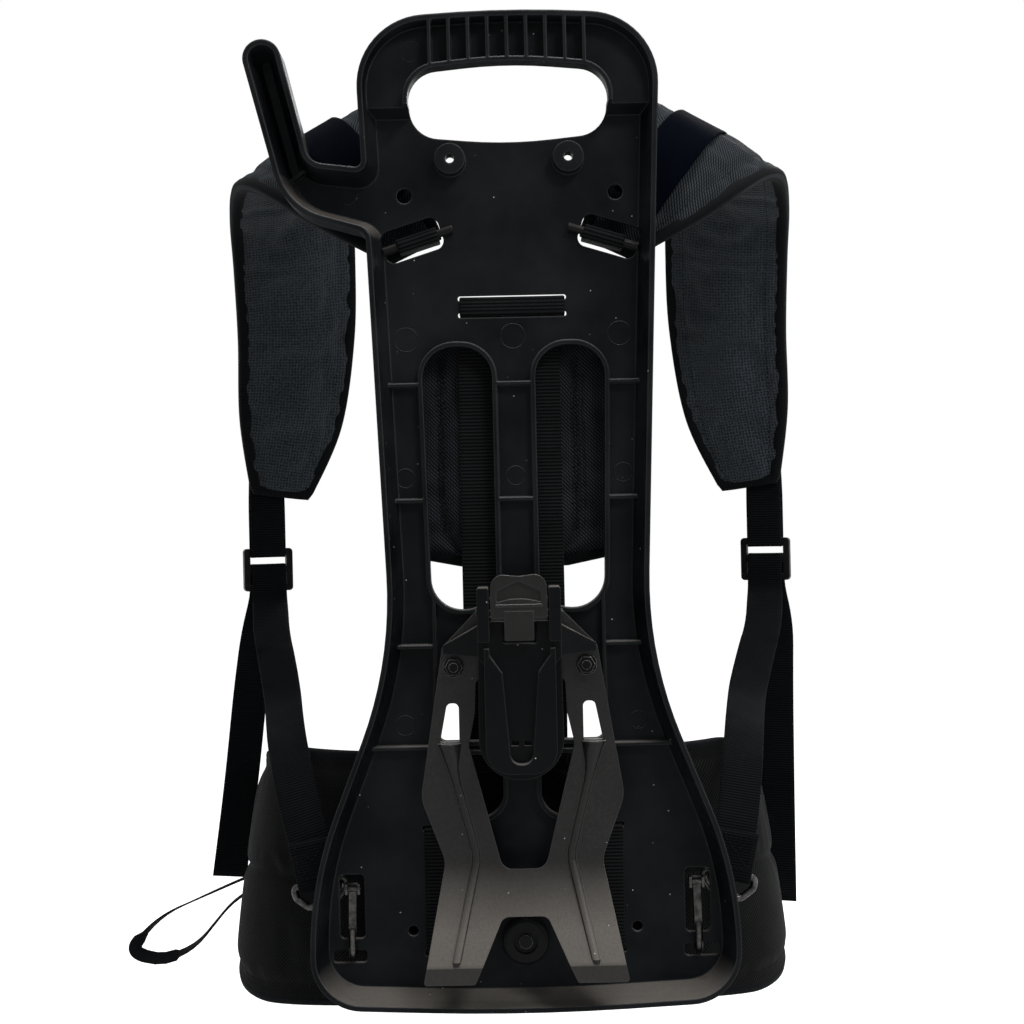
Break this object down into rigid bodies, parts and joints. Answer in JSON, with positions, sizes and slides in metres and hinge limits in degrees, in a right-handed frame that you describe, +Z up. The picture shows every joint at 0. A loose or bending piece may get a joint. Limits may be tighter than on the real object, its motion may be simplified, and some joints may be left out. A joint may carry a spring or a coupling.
{
  "type": "backpack blower carrying frame",
  "caption": "Moulded back frame with carrying handle, hose arm, machine cradle with sprung latch, bent steel support bracket, padded shoulder straps and hip belt for a blower worn on the back",
  "frame": {"origin": "the point of the wearer's back that the middle of the frame carries, on the middle plane", "axes": "+Z is up along the frame, +Y points from the wearer's back to the chest, +X is to the viewer's right when the frame is seen from behind the wearer"},
  "size_m": [0.5139, 0.378, 0.6697],
  "materials": {
    "plate_plastic": "black moulded plastic with a satin sheen",
    "bracket_steel": "dark powder coat",
    "cradle_plastic": "black moulded plastic",
    "latch_plastic": "dark grey plastic, polished by use",
    "fastener_steel": "dark zinc",
    "spring_steel": "spring wire",
    "buffer_rubber": "black rubber",
    "rod_plastic": "black plastic rod",
    "webbing": "ribbed polyester webbing",
    "strap_webbing": "ribbed polyester webbing",
    "pad_fabric": "padded woven fabric with bound edges",
    "belt_fabric": "padded twill with bound edges",
    "buckle_plastic": "black acetal",
    "hook_steel": "grey plated steel"
  },
  "bodies": {
    "frame": {"adjuster_strap_left": "strap_webbing", "adjuster_strap_right": "strap_webbing", "back_pad": "pad_fabric", "back_plate": "plate_plastic", "belt_anchor_webbing_left": "webbing", "belt_anchor_webbing_right": "webbing", "bracket_bolts": "fastener_steel", "bracket_nuts": "fastener_steel", "buckle_plug": "buckle_plastic", "buckle_socket": "buckle_plastic", "buffer_screw": "fastener_steel", "centre_band": "webbing", "cradle_screws": "fastener_steel", "dock_cradle": "cradle_plastic", "gate_pin_left": "fastener_steel", "gate_pin_right": "fastener_steel", "height_webbing_left": "webbing", "height_webbing_right": "webbing", "hip_belt": "belt_fabric", "ladder_lock_left": "buckle_plastic", "ladder_lock_right": "buckle_plastic", "latch_pin": "fastener_steel", "latch_spring": "spring_steel", "load_lifter_left": "strap_webbing", "load_lifter_right": "strap_webbing", "lock_loop_left": "webbing", "lock_loop_right": "webbing", "pull_loop": "webbing", "rubber_buffer": "buffer_rubber", "shoulder_pad_left": "pad_fabric", "shoulder_pad_right": "pad_fabric", "strap_hook_left": "hook_steel", "strap_hook_right": "hook_steel", "strap_rod_left": "rod_plastic", "strap_rod_right": "rod_plastic", "support_bracket": "bracket_steel", "upper_loop_left": "webbing", "upper_loop_right": "webbing", "waist_webbing_left": "webbing", "waist_webbing_right": "webbing"},
    "latch": {"latch_lever": "latch_plastic"},
    "gate_left": {"hook_gate_left": "hook_steel"},
    "gate_right": {"hook_gate_right": "hook_steel"},
    "prong_upper": {"buckle_prong_upper": "buckle_plastic"},
    "prong_lower": {"buckle_prong_lower": "buckle_plastic"}
  },
  "joints": [
    {"name": "latch_pivot", "type": "hinge", "parent": "frame", "child": "latch", "pos_m": [0, -0.076, -0.064], "axis": [-1, 0, 0], "range_deg": [0, 14], "stiffness_Nm_per_rad": 0.25, "springref_deg": -17.19},
    {"name": "gate_right_pivot", "type": "hinge", "parent": "frame", "child": "gate_right", "pos_m": [0.1148, -0.0292, -0.2492], "axis": [1, 0, 0], "range_deg": [0, 11], "stiffness_Nm_per_rad": 0.05, "springref_deg": -17.19},
    {"name": "gate_left_pivot", "type": "hinge", "parent": "frame", "child": "gate_left", "pos_m": [-0.1148, -0.0292, -0.2492], "axis": [1, 0, 0], "range_deg": [0, 11], "stiffness_Nm_per_rad": 0.05, "springref_deg": -17.19},
    {"name": "prong_upper_flex", "type": "hinge", "parent": "frame", "child": "prong_upper", "pos_m": [-0.0023, 0.284, -0.228], "axis": [0, -1, 0], "range_deg": [0, 12], "stiffness_Nm_per_rad": 0.4, "springref_deg": -5.73},
    {"name": "prong_lower_flex", "type": "hinge", "parent": "frame", "child": "prong_lower", "pos_m": [-0.0023, 0.284, -0.262], "axis": [0, 1, 0], "range_deg": [0, 12], "stiffness_Nm_per_rad": 0.4, "springref_deg": -5.73}
  ],
  "couplings": [
    {"joint": "prong_lower_flex", "follows": "prong_upper_flex", "ratio": 1}
  ]
}
